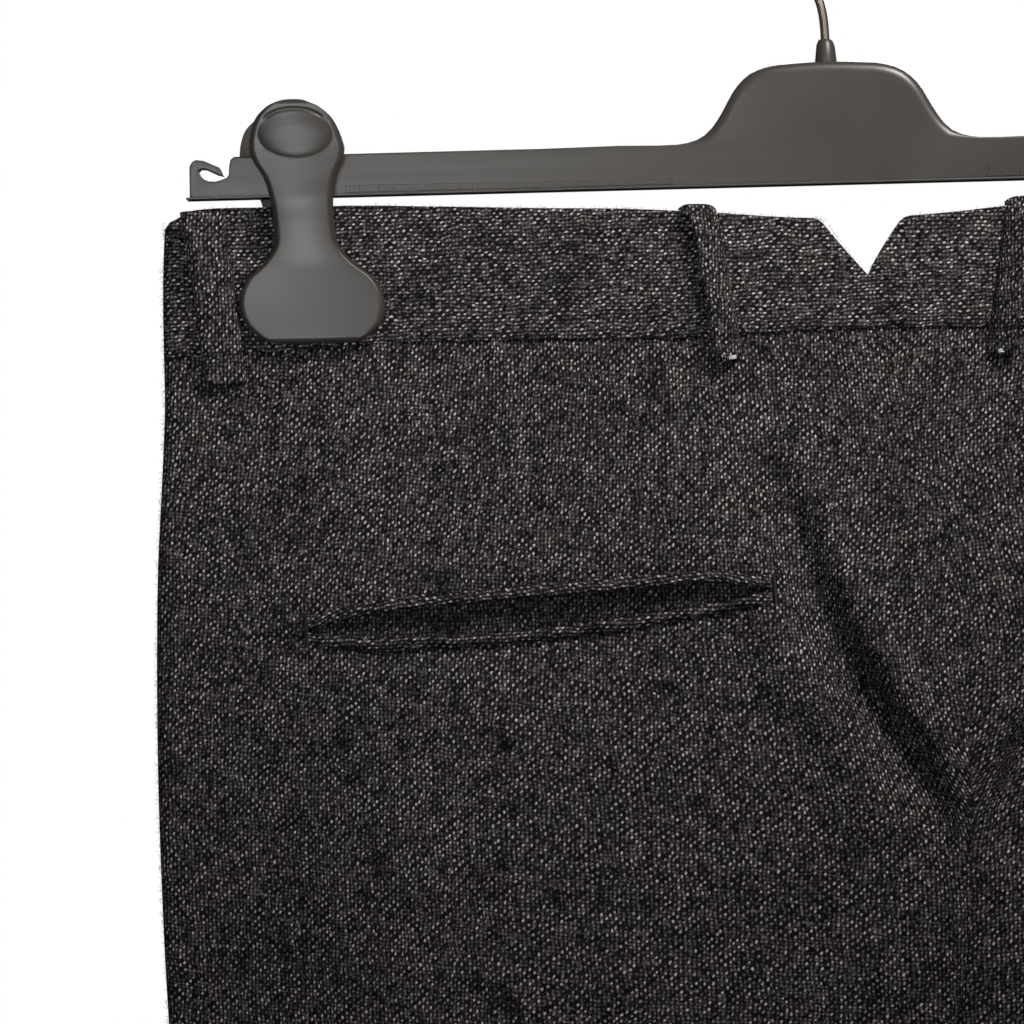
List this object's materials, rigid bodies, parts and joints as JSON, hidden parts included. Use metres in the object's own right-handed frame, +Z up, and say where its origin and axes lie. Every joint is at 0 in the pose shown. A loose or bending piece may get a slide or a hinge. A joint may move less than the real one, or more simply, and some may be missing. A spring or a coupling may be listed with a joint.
{
  "type": "wool trousers on a clip hanger",
  "caption": "Straight tweed wool trousers with a notched back waistband, belt loops and welt pockets, held by a plastic clip hanger with a wire hook.",
  "frame": {"origin": "the inside top of the hanger's hook, where a rail holds it", "axes": "+Z up; the back of the trousers faces -Y and the front +Y; the wearer's left half lies at -X"},
  "size_m": [0.4218, 0.0356, 1.1413],
  "materials": {
    "tweed": "plain-woven black and off-white flecked wool, matt and slightly hairy",
    "pocket_inside": "the same wool in the shade of the pocket",
    "zip_tape": "plain woven tape",
    "button": "polished dark button",
    "hanger_plastic": "satin moulded grey plastic",
    "steel": "drawn wire, dull bronze grey"
  },
  "bodies": {
    "root": {"back_left": "tweed", "front_left": "tweed", "waistband_back_left": "tweed", "waistband_front_left": "tweed", "belt_loop_back_left": "tweed", "belt_loop_side_left": "tweed", "belt_loop_front_left": "tweed", "pocket_welt_upper_left": "tweed", "pocket_welt_lower_left": "tweed", "pocket_facing_left": "pocket_inside", "clip_jaw_back_left": "hanger_plastic", "clip_jaw_front_left": "hanger_plastic", "clip_spring_left": "steel", "back_right": "tweed", "front_right": "tweed", "waistband_back_right": "tweed", "waistband_front_right": "tweed", "belt_loop_back_right": "tweed", "belt_loop_side_right": "tweed", "belt_loop_front_right": "tweed", "pocket_welt_upper_right": "tweed", "pocket_welt_lower_right": "tweed", "pocket_facing_right": "pocket_inside", "clip_jaw_back_right": "hanger_plastic", "clip_jaw_front_right": "hanger_plastic", "clip_spring_right": "steel", "fly_lap": "tweed", "fly_zip": "zip_tape", "waist_button": "button", "hanger_bar": "hanger_plastic", "hanger_hook": "steel"}
  },
  "joints": []
}
